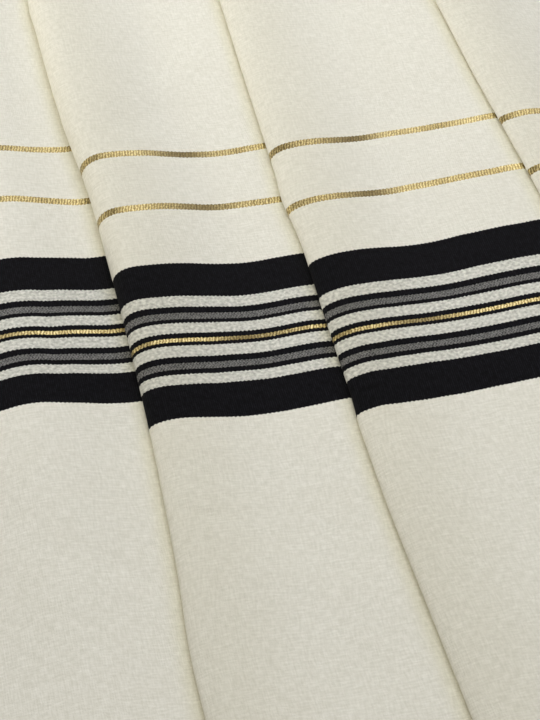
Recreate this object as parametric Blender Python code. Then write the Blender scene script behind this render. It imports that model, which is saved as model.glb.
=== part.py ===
"""Tallit prayer shawl, laid out flat at full length in four lengthways pleats.

Blender 4.5 script. Units in the tables are millimetres, the model is in metres, +Z up.
X runs across the shawl, Y along it with the near end at -Y, and the surface it lies on is Z = 0.
The origin is on that surface, in the middle of the shawl.
"""

import math
from collections import namedtuple

import bpy
from mathutils import Vector

MM = 0.001

# The cloth as it was woven, and how it is laid
CUT_WIDTH = 1300
CUT_LENGTH = 1800
WALL = 1.2
HEM = 12
SELVEDGE = 10
HALF_LAID_WIDTH = 315
PIECE_GAP = 0.3
LIP_GAP = 0.5

# Each pleat was laid a little nearer to the viewer than the one on its left
CREEP = {"panel_1": 30, "panel_2": 0, "panel_3": -19, "panel_4": -30}

# A fold's underside turns in this share of its height, or a little over the wall at the least,
# and its hidden lip runs this far under
UNDER_TURN = 0.2
LEAST_TURN = 1.7 * WALL
TURN_IN = 3
LIP = 14
TAIL = 16

# Corner patches, and the tassels knotted through them
PATCH = 70
PATCH_THICK = 1.0
EYELET_FROM_SIDE = 40
EYELET_FROM_END = 45
TASSEL_CENTRE = 4.4
TASSEL_SIDES = 8
LOOP_RADIUS = 2.0
WINDING_RADIUS = 2.7
KNOT_RADIUS = 4.0
KNOT_HALF_LENGTH = 4.5
KNOT_PLACES = (10, 29, 49, 71, 96)
STRAND_LENGTH = 185
STRAND_HALF_WIDTH = 0.8
STRAND_SEGMENTS = 5

# Stretches of the middle of the cloth between the four corner patches
MIDDLE_STEPS = 18

# The hidden layers end this far inside the panels, and stand apart in leaves at their ends
LEAF_SPLITS = (0.0, 0.29, 0.37, 0.65, 0.73, 1.0)
GROOVE_DEPTH = 7

# They stop short of the right panel's last places, where it lies on the surface itself
UNCOVERED = 3

# A folded panel at one place along the shawl: where its fold lies, how far in from there it is
# highest and lowest, those heights, and its height where it goes under the next panel
Pleat = namedtuple("Pleat", "y fold roll crest dip trough edge")

PLEATS = {
    "panel_2": (
        Pleat(-930, -156, 17, 9.0, 92, 4.0, 4.6),
        Pleat(-760, -160, 17, 9.6, 92, 4.0, 4.8),
        Pleat(-640, -153, 17, 10.4, 92, 4.0, 5.0),
        Pleat(-561, -150, 17, 11.4, 92, 4.0, 5.2),
        Pleat(-495, -149, 17, 13.9, 94, 4.0, 5.4),
        Pleat(-415, -149, 17, 17.9, 97, 4.0, 5.6),
        Pleat(-330, -151, 17, 19.0, 100, 4.0, 5.0),
        Pleat(-235, -157, 17, 19.2, 102, 4.0, 5.4),
        Pleat(-45, -158, 17, 15.5, 96, 4.0, 5.4),
        Pleat(250, -149, 18, 12.5, 90, 4.0, 5.2),
        Pleat(560, -146, 18, 15.5, 94, 4.0, 5.6),
        Pleat(930, -154, 17, 10.0, 90, 4.0, 4.6),
    ),
    "panel_3": (
        Pleat(-930, -9, 24, 14.0, 84, 11.5, 13.0),
        Pleat(-760, -14, 25, 15.0, 84, 13.5, 15.5),
        Pleat(-640, -17, 27, 15.6, 84, 14.1, 17.5),
        Pleat(-561, -15, 27, 16.2, 84, 14.6, 18.0),
        Pleat(-495, -14, 27, 17.3, 84, 14.9, 18.0),
        Pleat(-415, -12, 27, 18.5, 85, 13.6, 18.0),
        Pleat(-330, -12, 27, 18.5, 87, 13.5, 17.5),
        Pleat(-235, -10, 26, 18.5, 90, 13.5, 15.5),
        Pleat(-45, -6, 26, 17.5, 88, 12.5, 14.0),
        Pleat(250, -13, 26, 16.0, 84, 11.5, 13.0),
        Pleat(560, -18, 25, 17.5, 86, 12.5, 14.0),
        Pleat(930, -12, 24, 13.0, 84, 10.5, 11.5),
    ),
    "panel_4": (
        Pleat(-930, 172, 20, 20.0, 114, WALL, WALL),
        Pleat(-760, 169, 21, 24.0, 114, WALL, WALL),
        Pleat(-561, 168, 22, 26.5, 115, WALL, WALL),
        Pleat(-415, 166, 22, 27.0, 116, WALL, WALL),
        Pleat(-235, 162, 22, 24.5, 116, WALL, WALL),
        Pleat(-45, 164, 22, 22.0, 115, WALL, WALL),
        Pleat(250, 170, 22, 21.0, 112, WALL, WALL),
        Pleat(560, 163, 21, 22.5, 115, WALL, WALL),
        Pleat(930, 168, 20, 19.0, 112, WALL, WALL),
    ),
}

# The left panel has no fold, only a soft ridge: how high, and how far in from its selvedge
Ridge = namedtuple("Ridge", "y crest place")

RIDGES = (
    Ridge(-930, 5.0, 90),
    Ridge(-760, 9.0, 90),
    Ridge(-561, 17.0, 90),
    Ridge(-415, 16.0, 92),
    Ridge(-235, 12.5, 94),
    Ridge(-45, 11.0, 90),
    Ridge(250, 13.0, 86),
    Ridge(560, 9.0, 92),
    Ridge(930, 4.5, 88),
)
RIDGE_START = 16

# Places across the outer panels, counted in from their selvedges
FROM_SELVEDGE = (0, SELVEDGE, 28, 45, 62, SELVEDGE + PATCH, 106, 130, 150)
RIGHT_PLACES = FROM_SELVEDGE[:6] + (104,)

# Colour, roughness and metallic value of each kind of cloth or thread
FINISHES = {
    "ivory_wool": ((0.70, 0.67, 0.57), 0.92, 0.0),
    "inner_wool": ((0.66, 0.63, 0.53), 0.94, 0.0),
    "ivory_satin": ((0.74, 0.71, 0.61), 0.62, 0.0),
    "wool_cord": ((0.76, 0.74, 0.66), 0.88, 0.0),
}


def clear_scene():
    for item in list(bpy.data.objects):
        bpy.data.objects.remove(item, do_unlink=True)


def make_finish(name):
    colour, roughness, metallic = FINISHES[name]
    finish = bpy.data.materials.new(name)
    finish.use_nodes = True
    shader = finish.node_tree.nodes["Principled BSDF"]
    shader.inputs["Base Color"].default_value = (*colour, 1.0)
    shader.inputs["Roughness"].default_value = roughness
    shader.inputs["Metallic"].default_value = metallic
    return finish


def ease(t):
    """Smooth step from 0 to 1, level at both ends."""
    t = min(max(t, 0.0), 1.0)
    return 0.5 - 0.5 * math.cos(math.pi * t)


def slope_at(rows, index, column):
    """Slope of one column at a row, from the rows on each side of it."""
    before = rows[max(index - 1, 0)]
    after = rows[min(index + 1, len(rows) - 1)]
    return (after[column] - before[column]) / (after[0] - before[0])


def read(rows, y):
    """The columns of a table at y, on a smooth curve through its rows."""
    y = min(max(y, rows[0].y), rows[-1].y)
    index = 0
    while index < len(rows) - 2 and y > rows[index + 1].y:
        index += 1
    low, high = rows[index], rows[index + 1]
    span = high.y - low.y
    t = (y - low.y) / span
    values = [y]
    for column in range(1, len(low)):
        start = slope_at(rows, index, column) * span
        end = slope_at(rows, index + 1, column) * span
        values.append(
            low[column] * (2 * t**3 - 3 * t**2 + 1)
            + high[column] * (3 * t**2 - 2 * t**3)
            + start * (t**3 - 2 * t**2 + t)
            + end * (t**3 - t**2)
        )
    return type(low)(*values)


def next_fold(panel, y):
    """Where the next panel's fold lies over this one."""
    follower = {"panel_1": "panel_2", "panel_2": "panel_3", "panel_3": "panel_4"}[panel]
    return read(PLEATS[follower], y).fold


def left_panel_top(x, y):
    """Height of the left panel: flat at its selvedge, a soft ridge, flat under the next fold."""
    ridge = read(RIDGES, y)
    place = x + HALF_LAID_WIDTH
    if place < ridge.place:
        rise = ease((place - RIDGE_START) / (ridge.place - RIDGE_START))
    else:
        rise = 1 - ease((place - ridge.place) / (next_fold("panel_1", y) - x + place - ridge.place))
    return WALL + (ridge.crest - WALL) * rise


def pleat_top(panel, x, y):
    """Height of a folded panel, from its highest line to where the next panel covers it."""
    row = read(PLEATS[panel], y)
    place = x - row.fold
    if place < row.dip:
        fall = ease((place - row.roll) / (row.dip - row.roll))
        return row.crest + (row.trough - row.crest) * fall
    if panel == "panel_4":
        return row.trough
    rise = ease((place - row.dip) / (next_fold(panel, y) - row.fold - row.dip))
    return row.trough + (row.edge - row.trough) * rise


def top_height(panel, x, y):
    if panel == "panel_1":
        return left_panel_top(x, y)
    return pleat_top(panel, x, y)


def left_panel_line(y):
    """The left panel's outer face across the shawl, as (x, z), selvedge first."""
    fold = next_fold("panel_1", y)
    xs = [place - HALF_LAID_WIDTH for place in FROM_SELVEDGE] + [fold, fold + TAIL]
    return [(x, top_height("panel_1", x, y)) for x in xs]


def fold_line(panel, y):
    """The rolled left edge of a folded panel, from its hidden lip up to its highest line."""
    row = read(PLEATS[panel], y)
    below = {"panel_2": "panel_1", "panel_3": "panel_2", "panel_4": "panel_3"}[panel]
    floor = top_height(below, row.fold + TAIL, y) + LIP_GAP
    turn = max((row.crest - floor) * UNDER_TURN, LEAST_TURN)
    line = [(row.fold + LIP, floor)]
    for step in range(3):
        angle = step / 2 * math.pi / 2
        line.append((row.fold + TURN_IN * (1 - math.sin(angle)), floor + turn * (1 - math.cos(angle))))
    height = row.crest - floor - turn
    for step in range(1, 5):
        angle = step / 4 * math.pi / 2
        line.append((row.fold + row.roll * (1 - math.cos(angle)),
                     floor + turn + height * math.sin(angle)))
    return line


def slope_line(panel, y):
    """The rest of a folded panel's outer face, down from its highest line."""
    row = read(PLEATS[panel], y)
    if panel == "panel_4":
        xs = [HALF_LAID_WIDTH - place for place in reversed(RIGHT_PLACES)]
    else:
        fold = next_fold(panel, y)
        start, low = row.fold + row.roll, row.fold + row.dip
        xs = [start + (low - start) * step / 4 for step in range(1, 5)]
        xs += [(low + fold) / 2, fold, fold + TAIL]
    return [(x, top_height(panel, x, y)) for x in xs]


def outer_line(panel, y):
    if panel == "panel_1":
        return left_panel_line(y)
    return fold_line(panel, y) + slope_line(panel, y)


def inner_line(outer):
    """The same line moved in by the wall, square to it, with mitred corners."""
    inner = []
    for index, point in enumerate(outer):
        here = Vector(point)
        before = here - Vector(outer[index - 1]) if index else None
        after = Vector(outer[index + 1]) - here if index < len(outer) - 1 else None
        steps = [step.normalized() for step in (before, after) if step is not None]
        along = sum(steps, Vector((0, 0))).normalized()
        square = Vector((along.y, -along.x))
        half_turn = along.dot(steps[0])
        inner.append(tuple(here + square * (WALL / half_turn)))
    return inner


def stations(panel, half_length=CUT_LENGTH / 2):
    """Places along a panel: its hems, its patches' edges and even steps between them."""
    hem = CUT_LENGTH / 2 - HEM
    patch = hem - PATCH
    middle = [-patch + 2 * patch * step / MIDDLE_STEPS for step in range(MIDDLE_STEPS + 1)]
    places = [-hem] + middle + [hem]
    if half_length > hem:
        places = [-half_length] + places + [half_length]
    return [place + CREEP[panel] for place in places]


def add_object(name, points, faces, finish, smooth=True):
    mesh = bpy.data.meshes.new(name)
    mesh.from_pydata([Vector(point) * MM for point in points], [], faces)
    mesh.validate()
    mesh.materials.append(finish)
    if smooth:
        mesh.shade_smooth()
        mesh.set_sharp_from_angle(angle=math.radians(40))
    item = bpy.data.objects.new(name, mesh)
    bpy.context.scene.collection.objects.link(item)
    return item


def loft(rings, open_span=None):
    """Faces between closed rings of points, facing out where a ring runs clockwise from the
    near end. Each quad is cut from near left to far right, so that surfaces made from the same
    points keep their gap. The span that starts at open_span is left out."""
    points = [point for ring in rings for point in ring]
    count = len(rings[0])
    faces = []
    for level in range(len(rings) - 1):
        for index in range(count):
            if index == open_span:
                continue
            following = (index + 1) % count
            a, b = level * count + index, level * count + following
            c, d = b + count, a + count
            if points[b][0] > points[a][0]:
                faces += [(a, b, c), (a, c, d)]
            else:
                faces += [(a, b, d), (b, c, d)]
    return points, faces


def wall_caps(count, levels):
    """End faces of a bent wall, in quads between its outer and inner lines."""
    faces = []
    for level, near in ((0, True), (levels - 1, False)):
        base = level * 2 * count
        for index in range(count - 1):
            outer = (base + index, base + index + 1)
            inner = (base + 2 * count - 2 - index, base + 2 * count - 1 - index)
            quad = (outer[1], outer[0], inner[1], inner[0])
            faces.append(quad if near else tuple(reversed(quad)))
    return faces


def wall_rings(panel):
    rings = []
    for y in stations(panel):
        outer = outer_line(panel, y)
        inner = inner_line(outer)
        rings.append([(x, y, z) for x, z in outer] + [(x, y, z) for x, z in reversed(inner)])
    return rings


def build_panel(panel, finish):
    """One stretch of the woven cloth that shows, as a wall with its rolled left edge."""
    rings = wall_rings(panel)
    points, faces = loft(rings)
    faces += wall_caps(len(rings[0]) // 2, len(rings))
    return add_object(panel, points, faces, finish)


def hidden_line(creep_place):
    """Underside of the three folded panels at one place along the cloth, lowered by the gap."""
    line = []
    for panel in ("panel_2", "panel_3", "panel_4"):
        y = creep_place + CREEP[panel]
        outer = outer_line(panel, y)
        crest = len(fold_line(panel, y)) - 1
        last = len(outer) - UNCOVERED if panel == "panel_4" else len(outer)
        under = inner_line(outer)[crest:last]
        line += [(x, y, z - PIECE_GAP) for x, z in under]
        if panel != "panel_4":
            x, y, z = line[-1]
            line[-1] = (x + PIECE_GAP, y, z)
    return line


def hidden_ring(line):
    """Closed section of the hidden layers: top, right side, flat underside, left side."""
    splits = LEAF_SPLITS[1:-1]
    left, right = line[0], line[-1]
    down = [(right[0], right[1], right[2] * share) for share in reversed(splits)]
    up = [(left[0], left[1], left[2] * share) for share in splits]
    return line + down + [(right[0], right[1], 0), (left[0], left[1], 0)] + up


def leaf_end(points, faces, line, base, near):
    """Close one end of the hidden layers in leaves, with sunk grooves between them."""
    columns = len(line)
    rows = len(LEAF_SPLITS)
    grid = {}
    for column, (x, y, z) in enumerate(line):
        for row, share in enumerate(LEAF_SPLITS):
            if row == rows - 1:
                grid[column, row] = base + column
            elif column == columns - 1:
                grid[column, row] = base + columns + rows - 2 - row
            elif column == 0:
                grid[column, row] = base + columns + rows - 1 + row
            else:
                grid[column, row] = len(points)
                points.append((x, y, z * share))
    inward = GROOVE_DEPTH if near else -GROOVE_DEPTH
    sunk = {}
    for column in range(1, columns - 1):
        for row in range(1, rows - 1):
            x, y, z = points[grid[column, row]]
            sunk[column, row] = len(points)
            points.append((x, y + inward, z))

    def add(a, b, c, d):
        faces.append((a, b, c, d) if near else (d, c, b, a))

    for column in range(columns - 1):
        after = column + 1
        joined = column in (0, columns - 2)
        for row in range(rows - 1):
            if row % 2 == 0 or joined:
                add(grid[column, row], grid[after, row],
                    grid[after, row + 1], grid[column, row + 1])
                continue
            add(sunk[column, row], sunk[after, row], sunk[after, row + 1], sunk[column, row + 1])
            add(grid[column, row], grid[after, row], sunk[after, row], sunk[column, row])
            add(sunk[column, row + 1], sunk[after, row + 1],
                grid[after, row + 1], grid[column, row + 1])
    first, last = 1, columns - 2
    for row in range(1, rows - 2, 2):
        add(grid[first, row], sunk[first, row], sunk[first, row + 1], grid[first, row + 1])
        add(sunk[last, row], grid[last, row], grid[last, row + 1], sunk[last, row + 1])
    return [grid[column, 0] for column in range(columns)]


def build_hidden_layers(finish):
    """The pleats' hidden layers as one rounded solid, flat where it rests."""
    lines = [hidden_line(place) for place in stations("panel_2", CUT_LENGTH / 2 - HEM)]
    rings = [hidden_ring(line) for line in lines]
    count, columns = len(rings[0]), len(lines[0])
    right_foot = columns + len(LEAF_SPLITS) - 2
    left_foot = right_foot + 1
    points, faces = loft(rings, open_span=right_foot)
    last = (len(rings) - 1) * count
    near_foot = leaf_end(points, faces, lines[0], 0, True)
    far_foot = leaf_end(points, faces, lines[-1], last, False)

    # The underside: its first and last faces meet every point of the leaf ends
    faces.append(tuple(reversed(near_foot)) + (count + left_foot, count + right_foot))
    for base in range(count, last - count, count):
        faces.append((base + right_foot, base + left_foot,
                      base + count + left_foot, base + count + right_foot))
    before = last - count
    faces.append(tuple(far_foot) + (before + right_foot, before + left_foot))
    return add_object("tucked_layers", points, faces, finish)


def corner_points(panel, near):
    """The panel's own top points under a corner patch, as rows along the shawl."""
    ys = stations(panel)
    rows = (ys[1], ys[2]) if near else (ys[-3], ys[-2])
    grid = []
    for y in rows:
        line = outer_line(panel, y)
        part = line[1:6] if panel == "panel_1" else line[-6:-1]
        grid.append([(x, y, z) for x, z in part])
    return grid


def build_patch(name, panel, near, finish):
    """A square reinforcing patch, made of the panel's points moved up."""
    rings = []
    for row in corner_points(panel, near):
        low = [(x, y, z + PIECE_GAP) for x, y, z in row]
        high = [(x, y, z + PIECE_GAP + PATCH_THICK) for x, y, z in row]
        rings.append(high + list(reversed(low)))
    points, faces = loft(rings)
    faces += wall_caps(len(rings[0]) // 2, len(rings))
    return add_object(name, points, faces, finish)


def tassel_place(side, end, edge_y, out):
    """A point on a tassel's route, out past the selvedge, and the way the route runs there."""
    share = (out + EYELET_FROM_SIDE) / (EYELET_FROM_SIDE + KNOT_PLACES[-1] + STRAND_LENGTH)
    along = -EYELET_FROM_END + 8 * share + 40 * share**2
    slant = (8 + 80 * share) / (EYELET_FROM_SIDE + KNOT_PLACES[-1] + STRAND_LENGTH)
    place = Vector((side * (HALF_LAID_WIDTH + out), end * (abs(edge_y) + along), 0))
    way = Vector((side, end * slant, 0)).normalized()
    return place, way


def tassel_rings(side, end, edge_y, panel):
    """Rings of the tassel's loop, knots and windings, from the eyelet to the last knot."""
    stops = [(-EYELET_FROM_SIDE, LOOP_RADIUS), (-12, LOOP_RADIUS)]
    for place in KNOT_PLACES:
        stops += [(place - KNOT_HALF_LENGTH, WINDING_RADIUS), (place, KNOT_RADIUS)]
        stops.append((place + KNOT_HALF_LENGTH, WINDING_RADIUS))
    stops[-1] = (KNOT_PLACES[-1] + KNOT_HALF_LENGTH, KNOT_RADIUS * 0.75)
    rings = []
    for out, radius in stops:
        centre, way = tassel_place(side, end, edge_y, out)
        height = TASSEL_CENTRE
        if out < 0:
            top = top_height(panel, centre.x, centre.y)
            height = top + PATCH_THICK + 3 * PIECE_GAP + radius
        centre.z = max(height, TASSEL_CENTRE)
        across = Vector((-way.y, way.x, 0))
        rings.append([
            tuple(centre + radius * (across * math.cos(turn) + Vector((0, 0, math.sin(turn)))))
            for turn in (2 * math.pi * step / TASSEL_SIDES for step in range(TASSEL_SIDES))
        ])
    return rings


def strand_rings(index, side, end, edge_y):
    """Rings of one strand: out of its face of the last knot, down, and spread on the floor."""
    turn = 2 * math.pi * (index + 0.5) / TASSEL_SIDES
    upper = math.sin(turn) > 0
    outer = abs(math.cos(turn)) > 0.5
    spread = {(True, True): 17.5, (False, True): 25, (True, False): 3.5, (False, False): 10.5}
    target = math.copysign(spread[upper, outer], math.cos(turn))
    start = KNOT_PLACES[-1] + KNOT_HALF_LENGTH
    length = STRAND_LENGTH * (1 - 0.06 * ((index * 3) % 4) / 3)
    rings = []
    for step in range(1, STRAND_SEGMENTS + 1):
        share = (step / STRAND_SEGMENTS) ** 1.5
        centre, way = tassel_place(side, end, edge_y, start + length * share)
        across = Vector((-way.y, way.x, 0))
        round_way = -across * math.sin(turn) + Vector((0, 0, math.cos(turn)))
        out_way = across * math.cos(turn) + Vector((0, 0, math.sin(turn)))
        lateral = math.cos(turn) * KNOT_RADIUS * 0.9 * (1 - share)
        lateral += target * share**0.6
        rest = STRAND_HALF_WIDTH * 1.5 + PIECE_GAP
        drop = max(1 - share / 0.35, 0) ** 1.5
        height = rest + (TASSEL_CENTRE + math.sin(turn) * KNOT_RADIUS * 0.9 - rest) * drop
        centre += across * lateral
        centre.z = max(height, rest)
        half = STRAND_HALF_WIDTH
        rings.append([
            tuple(centre + half * (a * out_way + b * round_way))
            for a, b in ((1, -1), (1, 1), (-1, 1), (-1, -1))
        ])
    return rings


def build_tassel(name, side, end, panel, finish):
    """A tassel: a looped, knotted and wound head, with eight strands fused into its last knot."""
    edge_y = end * CUT_LENGTH / 2 + CREEP[panel]
    rings = tassel_rings(side, end, edge_y, panel)
    points, faces = loft(rings[:-1])
    count = TASSEL_SIDES
    last = len(points)
    before = last - count
    points += rings[-1]
    faces += [tuple(reversed(range(count))), tuple(range(last, last + count))]
    for index in range(count):
        after = (index + 1) % count
        ring = [before + index, before + after, last + after, last + index]
        for section in strand_rings(index, side, end, edge_y):
            fresh = list(range(len(points), len(points) + 4))
            points += section
            for corner in range(4):
                after = (corner + 1) % 4
                faces.append((ring[corner], ring[after], fresh[after], fresh[corner]))
            ring = fresh
        faces.append(tuple(ring))
    return add_object(name, points, faces, finish)


def build_shawl():
    clear_scene()
    finishes = {name: make_finish(name) for name in FINISHES}
    for panel in ("panel_1", "panel_2", "panel_3", "panel_4"):
        build_panel(panel, finishes["ivory_wool"])
    build_hidden_layers(finishes["inner_wool"])
    for side, side_name, panel in ((-1, "left", "panel_1"), (1, "right", "panel_4")):
        for end, end_name in ((-1, "near"), (1, "far")):
            corner = f"{end_name}_{side_name}"
            build_patch(f"corner_patch_{corner}", panel, end < 0, finishes["ivory_satin"])
            build_tassel(f"tzitzit_{corner}", side, end, panel, finishes["wool_cord"])


build_shawl()
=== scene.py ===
import math
from collections import namedtuple

import bpy
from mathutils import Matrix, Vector, noise


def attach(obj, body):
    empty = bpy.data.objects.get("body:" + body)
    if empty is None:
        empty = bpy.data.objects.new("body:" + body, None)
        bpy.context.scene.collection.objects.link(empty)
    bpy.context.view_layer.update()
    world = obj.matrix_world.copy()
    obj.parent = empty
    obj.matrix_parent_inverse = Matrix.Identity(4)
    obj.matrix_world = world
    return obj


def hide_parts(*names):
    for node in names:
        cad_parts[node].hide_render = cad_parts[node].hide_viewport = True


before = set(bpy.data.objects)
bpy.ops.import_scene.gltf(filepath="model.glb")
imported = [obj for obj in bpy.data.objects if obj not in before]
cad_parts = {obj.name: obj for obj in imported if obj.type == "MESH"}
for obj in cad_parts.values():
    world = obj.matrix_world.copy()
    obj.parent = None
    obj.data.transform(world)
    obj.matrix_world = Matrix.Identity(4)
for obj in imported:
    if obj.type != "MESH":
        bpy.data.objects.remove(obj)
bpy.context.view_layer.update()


# The photographer's place: over the near end of the shawl, looking down at 45 degrees along its
# length, from a little to the left of it, through a long lens. The cloth fills the frame.
CAMERA_TURN = math.radians(-13)
CAMERA_RISE = math.radians(45)
CAMERA_DISTANCE = 1.34
CAMERA_TARGET = Vector((-0.060, -0.520, 0.010))


def place_camera():
    back = Vector((
        math.sin(CAMERA_TURN) * math.cos(CAMERA_RISE),
        -math.cos(CAMERA_TURN) * math.cos(CAMERA_RISE),
        math.sin(CAMERA_RISE),
    ))
    lens = bpy.data.cameras.new("camera")
    lens.lens = 100
    lens.sensor_width = 36
    lens.clip_end = 50
    lens.dof.use_dof = False
    camera = bpy.data.objects.new("camera", lens)
    camera.location = CAMERA_TARGET + back * CAMERA_DISTANCE
    camera.rotation_euler = (-back).to_track_quat("-Z", "Y").to_euler()
    bpy.context.scene.collection.objects.link(camera)
    bpy.context.scene.camera = camera
    bpy.context.scene.view_settings.view_transform = "Standard"


place_camera()


# The table that the shawl lies on for its picture: a pale painted top, matt and plain, wide enough
# to run out of every view.
TABLE_HALF = 30.0
TABLE_SINK = 0.0004
TABLE_PAINT = "DCDCDA"
ROUND_A_SQUARE = ((-1, -1), (1, -1), (1, 1), (-1, 1))


def linear(code):
    """An sRGB hex colour as the linear colour that a shader takes."""
    parts = [int(code[start:start + 2], 16) / 255 for start in (0, 2, 4)]
    return tuple(c / 12.92 if c <= 0.04045 else ((c + 0.055) / 1.055) ** 2.4 for c in parts) + (1.0,)


def new_material(name):
    """A material with Blender's usual shader, as the material, its node tree and that shader."""
    material = bpy.data.materials.new(name)
    material.use_nodes = True
    tree = material.node_tree
    shader = tree.nodes["Principled BSDF"]
    return material, tree, shader


def add_node(tree, kind, links=(), **settings):
    """Add a node: settings are its own, links gives each of its sockets a number or a link."""
    node = tree.nodes.new(kind)
    for name, value in settings.items():
        setattr(node, name, value)
    for socket, value in dict(links).items():
        if isinstance(value, bpy.types.NodeSocket):
            tree.links.new(value, node.inputs[socket])
        else:
            node.inputs[socket].default_value = value
    return node


def make_matt_paint():
    """Matt emulsion, rolled: an even pale tone with a faint orange-peel in its sheen."""
    material, tree, shader = new_material("matt_emulsion_paint")
    place = add_node(tree, "ShaderNodeTexCoord")
    peel = add_node(tree, "ShaderNodeTexNoise", {"Vector": place.outputs["Object"], "Scale": 400.0})
    bump = add_node(tree, "ShaderNodeBump",
                    {"Height": peel.outputs["Fac"], "Strength": 0.1, "Distance": 0.0004})
    shader.inputs["Base Color"].default_value = linear(TABLE_PAINT)
    shader.inputs["Roughness"].default_value = 0.85
    shader.inputs["Specular IOR Level"].default_value = 0.15
    tree.links.new(bump.outputs["Normal"], shader.inputs["Normal"])
    return material


def lay_table():
    mesh = bpy.data.meshes.new("table_top")
    corners = [(x * TABLE_HALF, y * TABLE_HALF, -TABLE_SINK) for x, y in ROUND_A_SQUARE]
    mesh.from_pydata(corners, [], [(0, 1, 2, 3)])
    mesh.materials.append(make_matt_paint())
    table = bpy.data.objects.new("table_top", mesh)
    bpy.context.scene.collection.objects.link(table)


lay_table()


# The studio light: one large cool soft box beyond the far right of the shawl, a wide weaker one
# overhead, warm pale walls all round, and a small box with a grid on it, low at the left, that
# opens up the shade on the folds' left sides towards the far end.
Lamp = namedtuple("Lamp", "name x y z size watts colour spread aim_y")

LAMPS = (
    Lamp("soft_box", 1.15, 1.75, 2.5, 2.3, 58.5, "F6F9FF", 180, -0.45),
    Lamp("overhead_panel", -0.9, -0.35, 3.1, 3.0, 23.5, "FFFDF8", 180, -0.45),
    Lamp("left_box", -2.1, 0.55, 0.8, 0.35, 0.95, "FFFCF4", 34, -0.08),
)
WALLS_GLOW = 0.46


def hang_lamps():
    for row in LAMPS:
        light = bpy.data.lights.new(row.name, "AREA")
        light.shape = "SQUARE"
        light.size = row.size
        light.energy = row.watts
        light.color = linear(row.colour)[:3]
        light.spread = math.radians(row.spread)
        lamp = bpy.data.objects.new(row.name, light)
        lamp.location = (row.x, row.y, row.z)
        aim = Vector((-0.05, row.aim_y, 0)) - lamp.location
        lamp.rotation_euler = aim.to_track_quat("-Z", "Y").to_euler()
        bpy.context.scene.collection.objects.link(lamp)
    world = bpy.data.worlds.new("pale_walls")
    world.use_nodes = True
    glow = world.node_tree.nodes["Background"]
    glow.inputs["Color"].default_value = linear("FFFCF6")
    glow.inputs["Strength"].default_value = WALLS_GLOW
    bpy.context.scene.world = world


hang_lamps()


# The shawl's cloth: one length of fine ivory wool, 1300 by 1800 mm, plain woven, with black and
# grey wool and flat gold yarn thrown in across it near both ends for the stripes. It is laid
# full length in four lengthways pleats, each over the one on its left.
MM = 0.001
CUT_WIDTH = 1300
CUT_LENGTH = 1800
CLOTH = 0.9
CAD_WALL = 1.2
LIP_GAP = 0.5
HALF_LAID_WIDTH = 315
SELVEDGE = 10
HEM = 12
HEM_RISE = 0.8
PANELS = ("panel_1", "panel_2", "panel_3", "panel_4")
CREEP = {"panel_1": 30, "panel_2": 0, "panel_3": -19, "panel_4": -30}

# Where each fold lies, how far in from there the panel is highest and lowest, those heights, and
# its height where it goes under the next panel
Pleat = namedtuple("Pleat", "y fold roll crest dip trough edge")

PLEATS = {
    "panel_2": (
        Pleat(-930, -156, 17, 9.0, 92, 4.0, 4.6),
        Pleat(-760, -160, 17, 9.6, 92, 4.0, 4.8),
        Pleat(-640, -153, 17, 10.4, 92, 4.0, 5.0),
        Pleat(-561, -150, 17, 11.4, 92, 4.0, 5.2),
        Pleat(-495, -149, 17, 13.9, 94, 4.0, 5.4),
        Pleat(-415, -149, 17, 17.9, 97, 4.0, 5.6),
        Pleat(-330, -151, 17, 19.0, 100, 4.0, 5.0),
        Pleat(-235, -157, 17, 19.2, 102, 4.0, 5.4),
        Pleat(-45, -158, 17, 15.5, 96, 4.0, 5.4),
        Pleat(250, -149, 18, 12.5, 90, 4.0, 5.2),
        Pleat(560, -146, 18, 15.5, 94, 4.0, 5.6),
        Pleat(930, -154, 17, 10.0, 90, 4.0, 4.6),
    ),
    "panel_3": (
        Pleat(-930, -9, 24, 14.0, 84, 11.5, 13.0),
        Pleat(-760, -14, 25, 15.0, 84, 13.5, 15.5),
        Pleat(-640, -17, 27, 15.6, 84, 14.1, 17.5),
        Pleat(-561, -15, 27, 16.2, 84, 14.6, 18.0),
        Pleat(-495, -14, 27, 17.3, 84, 14.9, 18.0),
        Pleat(-415, -12, 27, 18.5, 85, 13.6, 18.0),
        Pleat(-330, -12, 27, 18.5, 87, 13.5, 17.5),
        Pleat(-235, -10, 26, 18.5, 90, 13.5, 15.5),
        Pleat(-45, -6, 26, 17.5, 88, 12.5, 14.0),
        Pleat(250, -13, 26, 16.0, 84, 11.5, 13.0),
        Pleat(560, -18, 25, 17.5, 86, 12.5, 14.0),
        Pleat(930, -12, 24, 13.0, 84, 10.5, 11.5),
    ),
    "panel_4": (
        Pleat(-930, 172, 20, 20.0, 114, CAD_WALL, CAD_WALL),
        Pleat(-760, 169, 21, 24.0, 114, CAD_WALL, CAD_WALL),
        Pleat(-561, 168, 22, 26.5, 115, CAD_WALL, CAD_WALL),
        Pleat(-415, 166, 22, 27.0, 116, CAD_WALL, CAD_WALL),
        Pleat(-235, 162, 22, 24.5, 116, CAD_WALL, CAD_WALL),
        Pleat(-45, 164, 22, 22.0, 115, CAD_WALL, CAD_WALL),
        Pleat(250, 170, 22, 21.0, 112, CAD_WALL, CAD_WALL),
        Pleat(560, 163, 21, 22.5, 115, CAD_WALL, CAD_WALL),
        Pleat(930, 168, 20, 19.0, 112, CAD_WALL, CAD_WALL),
    ),
}

# The left panel has no fold, only a soft ridge: how high, and how far in from its selvedge
Ridge = namedtuple("Ridge", "y crest place")

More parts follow.
